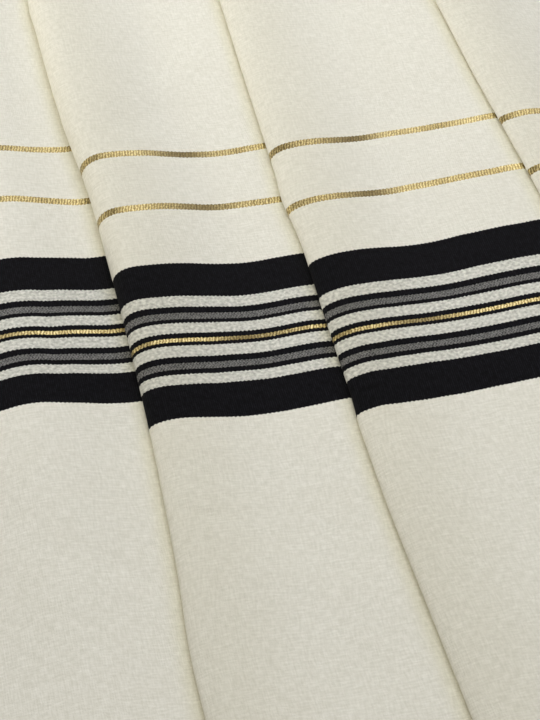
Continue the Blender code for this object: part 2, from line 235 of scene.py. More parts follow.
RIDGES = (
    Ridge(-930, 5.0, 90),
    Ridge(-760, 9.0, 90),
    Ridge(-561, 17.0, 90),
    Ridge(-415, 16.0, 92),
    Ridge(-235, 12.5, 94),
    Ridge(-45, 11.0, 90),
    Ridge(250, 13.0, 86),
    Ridge(560, 9.0, 92),
    Ridge(930, 4.5, 88),
)
RIDGE_START = 16

# A fold's underside turns in this share of its height, and its lip runs this far under
UNDER_TURN = 0.2
LEAST_TURN = 1.7 * CAD_WALL
TURN_IN = 3
LIP = 14
TAIL = 16

# A folded edge isn't ruled straight: where it steps aside, over what length and how far
Wiggle = namedtuple("Wiggle", "panel y reach shift")

WIGGLES = (
    Wiggle("panel_2", -690, 34, 0.7),
    Wiggle("panel_2", -285, 75, 1.6),
    Wiggle("panel_2", -80, 22, -1.2),
    Wiggle("panel_2", 330, 26, 1.4),
    Wiggle("panel_2", 690, 20, -1.3),
    Wiggle("panel_3", -362, 24, -2.2),
    Wiggle("panel_3", -590, 18, -0.8),
    Wiggle("panel_3", 60, 24, 1.3),
    Wiggle("panel_3", 420, 20, -1.5),
    Wiggle("panel_3", 760, 24, 1.2),
    Wiggle("panel_4", -480, 26, 1.2),
    Wiggle("panel_4", -150, 22, -1.0),
    Wiggle("panel_4", 360, 24, 1.6),
    Wiggle("panel_4", 680, 18, -1.0),
)

# Creases and soft swells: from one place to another on a panel, their width and their height,
# which is below nought for a trough
Crease = namedtuple("Crease", "panel x0 y0 x1 y1 width height")

CREASES = (
    Crease("panel_1", -191, -667, -168, -686, 5, -0.9),
    Crease("panel_1", -262, -610, -214, -655, 16, -0.8),
    Crease("panel_1", -236, -478, -182, -502, 12, 0.6),
    Crease("panel_1", -286, -300, -225, -262, 14, -0.9),
    Crease("panel_1", -210, -120, -176, -60, 12, 0.8),
    Crease("panel_1", -290, 60, -215, 118, 18, -1.0),
    Crease("panel_1", -262, 350, -190, 322, 9, -0.7),
    Crease("panel_1", -230, 560, -200, 640, 14, 0.9),
    Crease("panel_1", -280, 790, -205, 742, 12, -0.8),
    Crease("panel_2", -141, -635.6, -127, -644.3, 3.2, -0.95),
    Crease("panel_2", -127, -644.3, -104, -650, 4.2, -0.6),
    Crease("panel_2", -114, -589, -80, -611, 7, 0.5),
    Crease("panel_2", -123, -631.6, -108.4, -631.6, 2.6, -0.6),
    Crease("panel_2", -85.2, -562, -94.4, -604, 9, -0.6),
    Crease("panel_2", -60, -560, -32, -640, 16, 0.6),
    Crease("panel_2", -110, -690, -52, -716, 14, 0.7),
    Crease("panel_2", -126, -262, -70, -244, 13, -0.7),
    Crease("panel_2", -60, -190, -22, -150, 11, 0.7),
    Crease("panel_2", -128, -40, -60, -66, 10, -0.8),
    Crease("panel_2", -96, 120, -50, 196, 15, 0.9),
    Crease("panel_2", -120, 300, -66, 286, 4, -0.5),
    Crease("panel_2", -70, 430, -40, 500, 14, -0.9),
    Crease("panel_2", -118, 640, -62, 668, 12, 0.9),
    Crease("panel_2", -84, 760, -30, 800, 8, -0.6),
    Crease("panel_3", -3, -594.2, 4.5, -597.6, 3.0, -0.75),
    Crease("panel_3", -3, -606, 2.5, -611, 3.0, -0.65),
    Crease("panel_3", 0, -640, 2, -713, 12, 0.5),
    Crease("panel_3", 29, -618, 28, -687, 14, -0.6),
    Crease("panel_3", 84, -560, 122, -610, 18, 0.7),
    Crease("panel_3", 60, -300, 112, -282, 14, -0.6),
    Crease("panel_3", 106, -210, 148, -236, 12, 0.8),
    Crease("panel_3", 24, -80, 92, -48, 10, -0.8),
    Crease("panel_3", 90, 90, 128, 160, 16, 1.0),
    Crease("panel_3", 30, 250, 84, 272, 5, -0.6),
    Crease("panel_3", 60, 420, 132, 392, 14, -0.9),
    Crease("panel_3", 26, 560, 60, 640, 13, 0.8),
    Crease("panel_3", 88, 700, 140, 742, 9, -0.8),
    Crease("panel_4", 206, -690, 250, -640, 14, -0.9),
    Crease("panel_4", 226, -520, 266, -560, 10, 0.7),
    Crease("panel_4", 204, -330, 262, -300, 12, -0.8),
    Crease("panel_4", 214, -150, 244, -90, 13, 0.9),
    Crease("panel_4", 200, 60, 262, 84, 8, -0.8),
    Crease("panel_4", 222, 260, 256, 330, 15, 0.9),
    Crease("panel_4", 206, 470, 250, 452, 5, -0.6),
    Crease("panel_4", 216, 620, 262, 680, 12, -0.9),
    Crease("panel_4", 232, 770, 252, 830, 12, 0.7),
)


def ease(t):
    """Smooth step from 0 to 1, level at both ends."""
    t = min(max(t, 0.0), 1.0)
    return 0.5 - 0.5 * math.cos(math.pi * t)


def bell(t):
    """1 at nought, falling off smoothly to either side."""
    return math.exp(-t * t)


def slope_at(rows, index, column):
    """How steeply a table's column runs through one of its rows."""
    before = rows[max(index - 1, 0)]
    after = rows[min(index + 1, len(rows) - 1)]
    return (after[column] - before[column]) / (after[0] - before[0])


def read(rows, y):
    """The columns of a table at y, on a smooth curve through its rows, which start with theirs."""
    y = min(max(y, rows[0][0]), rows[-1][0])
    index = 0
    while index < len(rows) - 2 and y > rows[index + 1][0]:
        index += 1
    low, high = rows[index], rows[index + 1]
    span = high[0] - low[0]
    t = (y - low[0]) / span
    values = [y]
    for column in range(1, len(low)):
        start = slope_at(rows, index, column) * span
        end = slope_at(rows, index + 1, column) * span
        values.append(
            low[column] * (2 * t**3 - 3 * t**2 + 1)
            + high[column] * (3 * t**2 - 2 * t**3)
            + start * (t**3 - 2 * t**2 + t)
            + end * (t**3 - t**2)
        )
    return type(low)(*values)


def pleat_at(panel, y):
    """A panel's pleat at y, with its fold stepped aside by the wiggles."""
    row = read(PLEATS[panel], y)
    shift = sum(w.shift * bell((y - w.y) / w.reach) for w in WIGGLES if w.panel == panel)
    return row._replace(fold=row.fold + shift)


def panel_above(panel):
    return PANELS[PANELS.index(panel) + 1]


def left_panel_top(x, y):
    """Height of the left panel's upper face."""
    ridge = read(RIDGES, y)
    place = x + HALF_LAID_WIDTH
    if place < ridge.place:
        rise = ease((place - RIDGE_START) / (ridge.place - RIDGE_START))
    else:
        covered = pleat_at("panel_2", y).fold + HALF_LAID_WIDTH
        rise = 1 - ease((place - ridge.place) / (covered - ridge.place))
    return CAD_WALL + (ridge.crest - CAD_WALL) * rise


def panel_top(panel, x, y):
    """Height of a panel's upper face, right of its highest line."""
    if panel == "panel_1":
        return left_panel_top(x, y)
    row = pleat_at(panel, y)
    place = x - row.fold
    if place < row.dip:
        return row.crest + (row.trough - row.crest) * ease((place - row.roll) / (row.dip - row.roll))
    if panel == "panel_4":
        return row.trough
    covered = pleat_at(panel_above(panel), y).fold - row.fold
    return row.trough + (row.edge - row.trough) * ease((place - row.dip) / (covered - row.dip))


def panel_section(panel, y):
    """A panel's outer face across the shawl, as (x, z), and the place in it of its fold."""
    if panel == "panel_1":
        end = pleat_at("panel_2", y).fold + TAIL
        start = -HALF_LAID_WIDTH
        steps = 80
        xs = [start + (end - start) * step / steps for step in range(steps + 1)]
        return [(x, panel_top(panel, x, y)) for x in xs], 0
    row = pleat_at(panel, y)
    below = PANELS[PANELS.index(panel) - 1]
    floor = panel_top(below, row.fold + TAIL, y) + LIP_GAP
    turn = max((row.crest - floor) * UNDER_TURN, LEAST_TURN)
    line = [(row.fold + LIP - (LIP - TURN_IN) * step / 3, floor) for step in range(3)]
    for step in range(6):
        angle = step / 5 * math.pi / 2
        line.append((row.fold + TURN_IN * (1 - math.sin(angle)),
                     floor + turn * (1 - math.cos(angle))))
    fold_index = len(line) - 1
    height = row.crest - floor - turn
    for step in range(1, 14):
        angle = step / 13 * math.pi / 2
        line.append((row.fold + row.roll * (1 - math.cos(angle)),
                     floor + turn + height * math.sin(angle)))
    start = row.fold + row.roll
    end = HALF_LAID_WIDTH if panel == "panel_4" else pleat_at(panel_above(panel), y).fold + TAIL
    steps = {"panel_2": 66, "panel_3": 78, "panel_4": 60}[panel]
    xs = [start + (end - start) * step / steps for step in range(1, steps + 1)]
    line += [(x, panel_top(panel, x, y)) for x in xs]
    return line, fold_index


def crease_height(panel, x, y):
    """How far the creases, and the cloth's own slow waves, lift it at one place."""
    lift = 0.0
    for crease in CREASES:
        if crease.panel != panel:
            continue
        run = Vector((crease.x1 - crease.x0, crease.y1 - crease.y0))
        away = Vector((x - crease.x0, y - crease.y0))
        along = away.dot(run) / run.length_squared
        if not -0.6 < along < 1.6:
            continue
        aside = (away - run * along).length / crease.width
        if aside > 3:
            continue
        past = max(-along, along - 1, 0) * run.length / (crease.width + 0.3 * run.length)
        lift += crease.height * bell(aside) * bell(past * 2)
    seed = PANELS.index(panel) * 7.3
    lift += 0.55 * noise.noise(Vector((x / 46, y / 70, seed)))
    lift += 0.22 * noise.noise(Vector((x / 17, y / 24, seed + 3)))
    return lift


def free_share(panel, x, y):
    """1 where a panel is free to move, falling to 0 where it is under the next, or at a selvedge."""
    if panel == "panel_1":
        share = ease((x + HALF_LAID_WIDTH) / 40)
    else:
        share = ease((x - pleat_at(panel, y).fold - 1) / 9)
    if panel == "panel_4":
        return share * ease((HALF_LAID_WIDTH - x) / 40)
    return share * ease((pleat_at(panel_above(panel), y).fold - 1 - x) / 12)


def cloth_lift(panel, x, y):
    """How far the creases, and the turned hem at either end, lift a panel at one place."""
    end_gap = CUT_LENGTH / 2 - abs(y - CREEP[panel])
    lift = crease_height(panel, x, y) + HEM_RISE * ease((HEM + 1 - end_gap) / 3)
    return lift * free_share(panel, x, y)


def cloth_rows(creep):
    """Places along a panel, close together where the stripes and the camera are."""
    half = CUT_LENGTH / 2
    ends = [0, 1.2, 4, 8, 10, 12, 15, 20]
    rows = [-half + place for place in ends]
    while rows[-1] < -110:
        rows.append(rows[-1] + 4)
    while rows[-1] < half - 28:
        rows.append(rows[-1] + 7)
    rows += [half - place for place in reversed(ends)]
    return [row + creep for row in rows]


# How far, as painted shade, the cloth is yellower from a covered edge and greyer in from a fold
COVER_SHADE_REACH = 15
FOLD_SHADE_START = 10
FOLD_SHADE_REACH = 75

# Threads across the cloth where each panel's fold lies: what is between is tucked out of sight
FOLD_THREADS = {"panel_1": 0, "panel_2": 405, "panel_3": 787, "panel_4": 1138}


# The threads across the cloth don't lie square to it: how far, at one place across each panel,
# the near end's stripes lie nearer than their measure, from its far gold line to its last band
Lean = namedtuple("Lean", "x far_gold near_gold far_band far_grey middle near_grey near_band")

LEANS = {
    "panel_1": (
        Lean(-200, -3.0, -3.0, 1.0, 3.0, 6.0, 6.0, 0.5),
        Lean(-178, -3.0, -3.0, -1.0, 0.5, 2.5, 3.5, -0.5),
        Lean(-156, -3.0, -2.0, -2.0, -0.5, 1.5, 2.0, -1.0),
    ),
    "panel_2": (
        Lean(-146, 3.0, 3.0, 1.0, -1.0, 1.5, -0.5, -1.0),
        Lean(-125, 2.5, 3.5, 2.5, 1.5, 2.5, 2.0, 0.5),
        Lean(-100, 0.5, 1.0, 0.5, 0.5, 2.5, 2.5, 2.5),
        Lean(-70, 0.0, 0.0, 0.0, 0.5, 1.5, 1.5, 2.5),
        Lean(-40, 2.0, 1.0, 1.5, 1.0, 1.5, 1.5, 2.0),
        Lean(-15, 1.0, 2.0, 1.5, 2.0, 3.0, 2.5, 1.5),
    ),
    "panel_3": (
        Lean(0, 1.0, 4.0, 1.0, 2.0, 3.0, 2.0, 2.5),
        Lean(25, 2.0, 4.0, 1.0, 2.5, 3.5, 3.0, 4.5),
        Lean(50, 1.0, 3.0, 1.0, 2.0, 3.5, 2.5, 3.5),
        Lean(75, -0.5, 2.0, 1.0, 2.5, 3.5, 3.0, 2.5),
        Lean(100, 0.5, 1.0, -1.0, 1.0, 3.5, 3.0, 2.5),
    ),
    "panel_4": (
        Lean(180, 1.0, 2.5, 0.5, 1.0, 2.0, 2.5, 1.5),
        Lean(225, 2.0, 1.5, -1.0, 0.5, 1.0, 2.0, 3.0),
        Lean(290, -1.0, 0.5, -2.0, -1.0, 0.5, 1.0, 2.0),
    ),
}

# Where those stripes are, in from the near end, and where there is no lean to speak of any more
LEAN_PLACES = (760, 609, 547, 484.6, 446, 411, 374, 338.4, 200)
FAR_LEAN = 2.4
FAR_LEAN_START = 1000


def weave_lean(panel, x, y):
    """How far the threads across the cloth lie nearer than their measure."""
    leans = (0.0, *read(LEANS[panel], x)[1:], 0.0)
    station = y - CREEP[panel] + CUT_LENGTH / 2
    for place, lean, after, past in zip(LEAN_PLACES, leans, LEAN_PLACES[1:], leans[1:]):
        if after <= station <= place:
            return lean + (past - lean) * (place - station) / (place - after)
    far = ease((station - FAR_LEAN_START) / 200)
    return far * FAR_LEAN * noise.noise(Vector((x / 70, y / 160, PANELS.index(panel) * 2.9)))


def shell_mesh(name, grid, places, thickness, wear=None):
    """A closed thin shell: an outer grid of points, and the same moved in, square to it. places
    holds where on the flat cloth each point is, in metres, kept as the UV map "weave". The last
    argument holds how much painted shade each point gets, kept as a second UV map."""
    rows, columns = len(grid), len(grid[0])
    points = [point for row in grid for point in row]
    inner = []
    for j in range(rows):
        for i in range(columns):
            across = grid[j][min(i + 1, columns - 1)] - grid[j][max(i - 1, 0)]
            along = grid[min(j + 1, rows - 1)][i] - grid[max(j - 1, 0)][i]
            inner.append(grid[j][i] - across.cross(along).normalized() * thickness)
    base = len(points)
    points += inner
    faces = []
    for j in range(rows - 1):
        for i in range(columns - 1):
            a = j * columns + i
            faces.append((a, a + 1, a + columns + 1, a + columns))
            faces.append((base + a, base + a + columns, base + a + columns + 1, base + a + 1))
    for i in range(columns - 1):
        near, far = i, (rows - 1) * columns + i
        faces.append((base + near, base + near + 1, near + 1, near))
        faces.append((far, far + 1, base + far + 1, base + far))
    for j in range(rows - 1):
        left, right = j * columns, j * columns + columns - 1
        faces.append((left, left + columns, base + left + columns, base + left))
        faces.append((right + columns, right, base + right, base + right + columns))
    mesh = bpy.data.meshes.new(name)
    mesh.from_pydata([point * MM for point in points], [], faces)
    mesh.uv_layers.new(name="weave")
    flat = [place for row in places for place in row]
    marks = [mark for row in wear for mark in row] if wear else [(0.0, 0.0)] * base
    # The second UV map carries the painted shade by the folds and at the covered edges
    painted_shade_uv = mesh.uv_layers.new(name="wear")
    weave = mesh.uv_layers["weave"]
    for loop in mesh.loops:
        weave.data[loop.index].uv = flat[loop.vertex_index % base]
        painted_shade_uv.data[loop.index].uv = marks[loop.vertex_index % base]
    mesh.shade_smooth()
    mesh.set_sharp_from_angle(angle=math.radians(50))
    item = bpy.data.objects.new(name, mesh)
    bpy.context.scene.collection.objects.link(item)
    return item


def panel_grid(panel):
    """A panel's outer face as rows of points, where on the flat cloth each one is, and how
    much painted shade it gets: greyer along its fold, yellower where the next panel lies on it."""
    grid, places, wear = [], [], []
    for y in cloth_rows(CREEP[panel]):
        section, fold_index = panel_section(panel, y)
        fold = pleat_at(panel, y).fold if panel != "panel_1" else None
        run = [0.0]
        for before, after in zip(section, section[1:]):
            run.append(run[-1] + math.dist(before, after))
        if panel == "panel_4":
            threads = [CUT_WIDTH - run[-1] + s for s in run]
        else:
            threads = [FOLD_THREADS[panel] + s - run[fold_index] for s in run]
        cover = pleat_at(panel_above(panel), y).fold if panel != "panel_4" else 1000
        points, flat, marks = [], [], []
        for index, (x, z) in enumerate(section):
            # Painted shade: greyer in from the fold, yellower where the next panel covers the cloth
            fold_shade = 0.0 if fold is None else 1 - ease((x - fold - FOLD_SHADE_START) / FOLD_SHADE_REACH)
            marks.append((fold_shade, (1 - ease((cover - x) / COVER_SHADE_REACH)) ** 1.5))
            if index > fold_index or panel == "panel_1":
                before = section[max(index - 1, 0)]
                after = section[min(index + 1, len(section) - 1)]
                way = Vector((after[0] - before[0], after[1] - before[1])).normalized()
                lift = cloth_lift(panel, x, y)
                x, z = x - way.y * lift, z + way.x * lift
            points.append(Vector((x, y, max(z, CLOTH + 0.05))))
            flat.append((threads[index] * MM, (y - CREEP[panel] + weave_lean(panel, x, y)) * MM))
        grid.append(points)
        places.append(flat)
        wear.append(marks)
    return grid, places, wear


# The stripes, in order from 338.4 mm in from either end of the shawl: each one's width and yarn
Stripe = namedtuple("Stripe", "width yarn")

FIRST_STRIPE = 338.4
STRIPES = (
    Stripe(31.0, "black"),
    Stripe(9.3, "between"),
    Stripe(4.7, "black"),
    Stripe(5.7, "grey"),
    Stripe(5.5, "black"),
    Stripe(10.4, "between"),
    Stripe(3.6, "black"),
    Stripe(4.3, "gold"),
    Stripe(3.6, "black"),
    Stripe(9.2, "between"),
    Stripe(4.4, "black"),
    Stripe(5.4, "grey"),
    Stripe(5.2, "black"),
    Stripe(11.1, "between"),
    Stripe(32.8, "black"),
    Stripe(58.7, "ivory"),
    Stripe(7.0, "gold"),
    Stripe(55.4, "ivory"),
    Stripe(7.0, "gold"),
    Stripe(20.0, "ivory"),
)
YARN_CHANNELS = {
    "black": (1, 0, 0, 0),
    "grey": (0, 1, 0, 0),
    "gold": (0, 0, 1, 0),
    "between": (0, 0, 0, 1),
    "ivory": (0, 0, 0, 0),
}

# The warp's real threads are 0.5 mm apart, too fine for the picture, where they show as ribs
# 1.44 mm apart, ticks in the gold and teeth along the stripes' edges. They are drawn so big.
RIB = 1.44
WEFT_RIB = 1.1
TOOTH = 2.9
PEPPER = 0.9
SLANT_TURN = 1.9
SLANT_PITCH = 2.1
GOLD_TICK = 2.15
GOLD_TICK_DEPTH = 0.85
GOLD_TICK_WANDER = 1.1
GOLD_TICK_LEAN = -0.22

# Where, across the cloth, it falls away from the light: the gold is painted brown there, as painted
# shade
GOLD_SHADE_PLACES = (490, 852, 1218)
GOLD_SHADE_REACH = 24
GOLD_SHADE_DEPTH = 0.72

# How rough the wool and the gold are, and how far the gold is metal rather than its clear coat
WOOL_ROUGHNESS = 0.92
GOLD_ROUGHNESS = 0.35
GOLD_METAL = 0.7


def ramp_of_stripes(tree, place):
    """A colour ramp across the stripes, whose channels say which yarn is thrown in there."""
    reach = sum(stripe.width for stripe in STRIPES)
    share = add_node(tree, "ShaderNodeMapRange", {
        "Value": place, "From Min": FIRST_STRIPE * MM, "From Max": (FIRST_STRIPE + reach) * MM})
    ramp = add_node(tree, "ShaderNodeValToRGB", {"Fac": share.outputs["Result"]})
    ramp.color_ramp.interpolation = "CONSTANT"
    stops = ramp.color_ramp.elements
    stops[0].position = 0.0
    stops[0].color = YARN_CHANNELS["ivory"]
    stops.remove(stops[1])
    start = 0.0005
    for stripe in STRIPES:
        stop = stops.new(start)
        stop.color = YARN_CHANNELS[stripe.yarn]
        start += stripe.width / reach
    return ramp


def make_striped_wool():
    """Worsted wool, plain woven and lightly napped: matt, with a soft bloom at a low angle, faint
    ribs along its length, black yarn that drinks the light, and flat gold yarn that glints."""
    material, tree, shader = new_material("woven_wool_striped")

    def maths(operation, first, second=0.0, third=0.0):
        node = add_node(tree, "ShaderNodeMath", {0: first, 1: second, 2: third}, operation=operation)
        return node.outputs[0]

    def blend(share, first, second):
        node = add_node(tree, "ShaderNodeMix", {0: share, 6: first, 7: second}, data_type="RGBA")
        return node.outputs[2]

    weave = add_node(tree, "ShaderNodeUVMap", uv_map="weave")
    across, along = (add_node(tree, "ShaderNodeSeparateXYZ", {0: weave.outputs["UV"]}).outputs[i]
                     for i in (0, 1))

    def cloth_noise(u_size, v_size, detail=2.0, spread=0.18):
        """Noise, 0 to 1, whose blots are this long and wide on the cloth, in millimetres."""
        scaled = add_node(tree, "ShaderNodeMapping", {
            "Vector": weave.outputs["UV"],
            "Scale": (1 / (u_size * MM), 1 / (v_size * MM), 1.0)})
        node = add_node(tree, "ShaderNodeTexNoise", {
            "Vector": scaled.outputs["Vector"], "Scale": 1.0, "Detail": detail})
        sharp = add_node(tree, "ShaderNodeMapRange", {
            "Value": node.outputs["Fac"], "From Min": 0.5 - spread, "From Max": 0.5 + spread})
        return sharp.outputs["Result"]

    def ribs(place, pitch, depth=1.0):
        """Even ribs this far apart, in millimetres, from 0 to 1 and back where depth is 1."""
        wave = maths("SINE", maths("MULTIPLY", place, math.tau / (pitch * MM)))
        return maths("MULTIPLY_ADD", wave, depth / 2, 0.5)

    # Teeth along the stripes' edges, some deeper than others, and each thrown thread's own wander
    tooth = maths("SUBTRACT", maths("PINGPONG", across, TOOTH / 2 * MM), TOOTH / 4 * MM)
    bite = maths("MULTIPLY_ADD", cloth_noise(5.0, 9.0), 0.7, 0.12)
    wander = maths("MULTIPLY", maths("SUBTRACT", cloth_noise(30, 400, 1.0, 0.5), 0.5), 0.002)
    end_gap = maths("SUBTRACT", CUT_LENGTH / 2 * MM, maths("ABSOLUTE", along))
    end_gap = maths("ADD", maths("MULTIPLY_ADD", tooth, bite, end_gap), wander)
    ramp = ramp_of_stripes(tree, end_gap)
    masks = add_node(tree, "ShaderNodeSeparateColor", {0: ramp.outputs["Color"]})
    black, grey, gold = (masks.outputs[i] for i in range(3))
    between = ramp.outputs["Alpha"]

    warp = ribs(across, RIB)
    weft = ribs(along, WEFT_RIB)

    # Ivory yarn, uneven in the hank, and greyer and puckered where it is beaten in between stripes
    fleck = maths("ADD", cloth_noise(1.4, 7.0, 2.0, 0.14), cloth_noise(7.0, 1.4, 2.0, 0.14))
    fleck = maths("MULTIPLY", fleck, 0.5)
    slub = cloth_noise(9, 1.6, 2.0)
    blotch = cloth_noise(26, 30, 3.0, 0.3)
    ivory = blend(fleck, linear("D7D5C9"), linear("EEECE3"))
    ivory = blend(maths("MULTIPLY", slub, 0.3), ivory, linear("D4D1C3"))
    ivory = blend(maths("MULTIPLY", blotch, 0.25), ivory, linear("D7D3C5"))
    # Between stripes: a greyer tone, with the pucker hollows painted darker as painted shade
    pucker = cloth_noise(2.5, 2.2, 2.0)
    grey_with_pucker_shade = blend(pucker, linear("B0B0A7"), linear("E0DFD6"))
    cloth = blend(between, ivory, grey_with_pucker_shade)

    # Black yarn with the faintest blue, a little lighter along its ribs in patches
    lighter_rib_patches = maths("MULTIPLY", warp, cloth_noise(2.2, 5))
    black_yarn = blend(lighter_rib_patches, linear("07070A"), linear("19191E"))
    cloth = blend(black, cloth, black_yarn)

    # Grey is black and white threads taken in turn, so the crossings show as fine diagonals
    crossing = add_node(tree, "ShaderNodeCombineXYZ", {
        0: maths("FLOOR", maths("DIVIDE", across, PEPPER * MM)),
        1: maths("FLOOR", maths("DIVIDE", along, PEPPER * MM))})
    toss = add_node(tree, "ShaderNodeTexWhiteNoise", {"Vector": crossing.outputs[0]},
                    noise_dimensions="2D").outputs["Value"]
    slant = ribs(maths("ADD", across, maths("PINGPONG", along, SLANT_TURN * MM)), SLANT_PITCH)
    crossed = maths("MULTIPLY_ADD", toss, 0.5, maths("MULTIPLY", slant, 0.5))
    grey_yarn = blend(crossed, linear("1C1C1F"), linear("8A8986"))
    cloth = blend(grey, cloth, grey_yarn)

    # Gold is flat metal yarn, pinched down by each warp thread that crosses it, and turned a
    # little to and fro along its length: painted highlight and shade, from bright to nearly brown
    pinch = maths("MULTIPLY_ADD", cloth_noise(3.0, 3.0), GOLD_TICK_WANDER * MM, across)
    pinch = maths("MULTIPLY_ADD", along, GOLD_TICK_LEAN, pinch)
    tick = ribs(pinch, GOLD_TICK, GOLD_TICK_DEPTH)
    tilt = cloth_noise(30, 60, 1.0, 0.2)
    spark = cloth_noise(1.8, 1.6, 1.0)
    # Painted highlight and shade: glints and dark pinches set in the gold's colour
    glint = maths("MULTIPLY_ADD", tick, 0.5, maths("MULTIPLY", tilt, 0.2))
    glint = maths("MULTIPLY_ADD", spark, 0.3, glint)
    gilt = add_node(tree, "ShaderNodeValToRGB", {"Fac": glint})
    stops = gilt.color_ramp.elements
    stops[0].position = 0.05
    stops[0].color = linear("463A20")
    stops[1].position = 0.95
    stops[1].color = linear("E8D8A4")
    middle = stops.new(0.5)
    middle.color = linear("9A8756")
    # Painted shade: the gold is blended towards brown where the cloth falls away from the light
    gold_shade = 0.0
    for place in GOLD_SHADE_PLACES:
        away = maths("DIVIDE", maths("SUBTRACT", across, place * MM), GOLD_SHADE_REACH * MM)
        away = maths("MULTIPLY", maths("MULTIPLY", away, away), -1.0)
        gold_shade = maths("ADD", gold_shade, maths("EXPONENT", away))
    gold_shade = maths("MULTIPLY", gold_shade, GOLD_SHADE_DEPTH)
    gold_yarn = blend(gold_shade, gilt.outputs["Color"], linear("3E3117"))
    cloth = blend(gold, cloth, gold_yarn)

    # Painted shade: greyer in from each fold, yellower where the next panel lies on the cloth
    painted_shade_uv = add_node(tree, "ShaderNodeSeparateXYZ", {
        0: add_node(tree, "ShaderNodeUVMap", uv_map="wear").outputs["UV"]})
    for place, tone in ((0, "F6F5F1"), (1, "F9F7EB")):
        cloth = add_node(tree, "ShaderNodeMix", {
            0: painted_shade_uv.outputs[place], 6: cloth, 7: linear(tone)},
            data_type="RGBA", blend_type="MULTIPLY").outputs[2]

    tree.links.new(cloth, shader.inputs["Base Color"])
    tree.links.new(maths("MULTIPLY", gold, GOLD_METAL), shader.inputs["Metallic"])
    roughness = maths("MULTIPLY_ADD", gold, GOLD_ROUGHNESS - WOOL_ROUGHNESS, WOOL_ROUGHNESS)
    tree.links.new(roughness, shader.inputs["Roughness"])

    # The nap, the ribs and the puckers catch the light too
    nap = cloth_noise(1.5, 1.5, 3.0)
    relief = maths("MULTIPLY", maths("ADD", warp, maths("MULTIPLY", weft, 0.6)), 0.4)
    relief = maths("MULTIPLY_ADD", nap, 0.9, relief)
    relief = maths("MULTIPLY_ADD", maths("MULTIPLY", pucker, between), 1.6, relief)
    bump = add_node(tree, "ShaderNodeBump", {"Height": relief, "Strength": 0.5, "Distance": 0.0003})
    tree.links.new(bump.outputs["Normal"], shader.inputs["Normal"])
    shader.inputs["Sheen Weight"].default_value = 0.03
    shader.inputs["Sheen Roughness"].default_value = 0.5
    shader.inputs["Sheen Tint"].default_value = linear("F4F2E8")
    shader.inputs["Specular IOR Level"].default_value = 0.06
    return material


striped_wool = make_striped_wool()


def lay_panels():
    """Make what shows of the cloth, one piece for each panel, and give each by its name."""
    panels = {}
    for panel in PANELS:
        grid, places, wear = panel_grid(panel)
        stretch = shell_mesh("wool_" + panel, grid, places, CLOTH, wear)
        stretch.data.materials.append(striped_wool)
        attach(stretch, "root")
        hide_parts(panel)
        panels[panel] = stretch
    return panels


laid_panels = lay_panels()


# The hidden part of each pleat: the same cloth runs on under the next panel, turns back at an
# inner fold 85 to 120 mm in, and comes out again at the next fold. The inner folds aren't
# pressed, so they stand a little open and hold the panels over them up.
InnerFold = namedtuple("InnerFold", "below above reach settle")

INNER_FOLDS = (
    InnerFold("panel_1", "panel_2", 120, 34),
    InnerFold("panel_2", "panel_3", 121, 40),
    InnerFold("panel_3", "panel_4", 85, 54),
)
UNDER_CLEAR = 2.2
BEND_START = 0.42
BEND_END = 0.58
FLAT_STEPS = 18
BEND_STEPS = 10


def tucked_point(pleat, share, y):
    """A hidden layer's inner face at y: share runs from 0, where the panel below goes out of
    sight, to 1, where the next one's lip comes in."""
    fold = pleat_at(pleat.above, y).fold
    inner = fold + pleat.reach
    edge = panel_top(pleat.below, fold + TAIL, y)
    rest = CLOTH + 0.4

    def lower(x):
        return rest + (edge - rest) * (1 - ease((x - fold - TAIL) / pleat.settle))

    def upper(x):
        held = panel_top(pleat.above, max(x, fold + pleat_at(pleat.above, y).roll), y) - UNDER_CLEAR
        lip = edge + LIP_GAP
        free = lip + (held - lip) * ease((x - fold - LIP) / 50)
        return max(min(free, held), lower(x) + 0.5)

    bend = min((upper(inner - 4) - rest) / 2 + 0.3, 6)
    turn = inner - bend
    if share < BEND_START:
        x = fold + TAIL + 0.2 + (turn - fold - TAIL - 0.2) * share / BEND_START
        return x, lower(x)
    if share > BEND_END:
        x = fold + LIP + 0.2 + (turn - fold - LIP - 0.2) * (1 - share) / (1 - BEND_END)
        return x, upper(x)
    angle = (share - 0.5) / (BEND_END - BEND_START) * math.pi
    low, high = lower(turn), upper(turn)
    return turn + bend * math.cos(angle), (low + high) / 2 + (high - low) / 2 * math.sin(angle)


def tuck_pleats():
    bend = BEND_END - BEND_START
    shares = [BEND_START * step / FLAT_STEPS for step in range(FLAT_STEPS)]
    shares += [BEND_START + bend * step / BEND_STEPS for step in range(BEND_STEPS)]
    shares += [BEND_END + (1 - BEND_END) * step / FLAT_STEPS for step in range(FLAT_STEPS + 1)]
    half = CUT_LENGTH / 2 - 1
    stations = [-half + 2 * half * step / 130 for step in range(131)]
    for pleat in INNER_FOLDS:
        first = CREEP[pleat.below]
        grid, places = [], []
        for station in stations:
            points, flat = [], []
            for share in shares:
                y = station + first + (CREEP[pleat.above] - first) * share
                x, z = tucked_point(pleat, share, y)
                points.append(Vector((x, y, z)))
                run = FOLD_THREADS[pleat.above] - 2 * pleat.reach * (1 - share)
                flat.append((run * MM, station * MM))
            grid.append(points)
            places.append(flat)
        layer = shell_mesh("tucked_under_" + pleat.above, grid, places, CLOTH)
        layer.data.materials.append(striped_wool)
        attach(layer, "root")
        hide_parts("tucked_layers")


tuck_pleats()


# The hems: both short ends are turned under twice, 12 mm deep, and sewn down on a lockstitch
# machine in ivory cotton, 3.4 mm to the stitch.
STITCH_PITCH = 3.4
STITCH_LENGTH = 2.7
STITCH_RADIUS = 0.32
HEM_SEAM = 9.5


